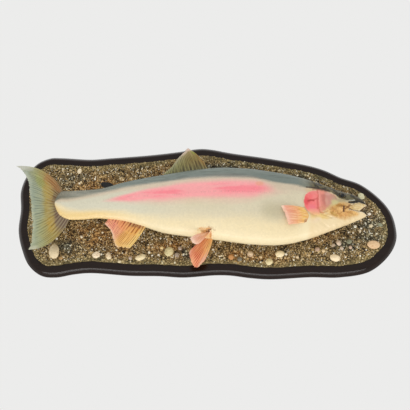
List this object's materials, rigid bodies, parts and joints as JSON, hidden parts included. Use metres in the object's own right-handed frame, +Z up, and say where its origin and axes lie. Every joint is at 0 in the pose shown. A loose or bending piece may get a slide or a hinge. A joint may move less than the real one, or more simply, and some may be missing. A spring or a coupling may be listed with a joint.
{
  "type": "mounted trout on wall plaque",
  "caption": "Painted rainbow trout skin mount in right-facing profile, on a dark wavy-edged wooden wall plaque covered with glued gravel and pebbles.",
  "frame": {"origin": "centre of the board's flat back, which lies against the wall", "axes": "+X along the board towards the fish's head, +Y into the wall, +Z up"},
  "size_m": [0.7642, 0.0934, 0.2807],
  "materials": {
    "board_wood": "dark stain under semi-gloss lacquer",
    "hanger_steel": "plain bright steel",
    "gravel": "rough mixed sand and grit, glued",
    "pebble": "smooth matt pebble",
    "fish_skin": "painted skin under clear varnish",
    "fish_fin": "painted fin rays under clear varnish",
    "eye_glass": "polished dark glass eye"
  },
  "bodies": {
    "root": {"board": "board_wood", "hanger": "hanger_steel", "gravel_bed": "gravel", "stone_01": "pebble", "stone_02": "pebble", "stone_03": "pebble", "stone_04": "pebble", "stone_05": "pebble", "stone_06": "pebble", "stone_07": "pebble", "stone_08": "pebble", "stone_09": "pebble", "stone_10": "pebble", "stone_11": "pebble", "stone_12": "pebble", "stone_13": "pebble", "stone_14": "pebble", "stone_15": "pebble", "stone_16": "pebble", "stone_17": "pebble", "stone_18": "pebble", "head": "fish_skin", "lower_jaw": "fish_skin", "gill_cover_right": "fish_skin", "gill_cover_left": "fish_skin", "trunk_front": "fish_skin", "trunk_rear": "fish_skin", "tail_stalk": "fish_skin", "eye_right": "eye_glass", "eye_left": "eye_glass", "caudal_fin": "fish_fin", "dorsal_fin": "fish_fin", "adipose_fin": "fish_fin", "anal_fin": "fish_fin", "pelvic_fin_right": "fish_fin", "pelvic_fin_left": "fish_fin", "pectoral_fin_right": "fish_fin", "pectoral_fin_left": "fish_fin"}
  },
  "joints": []
}
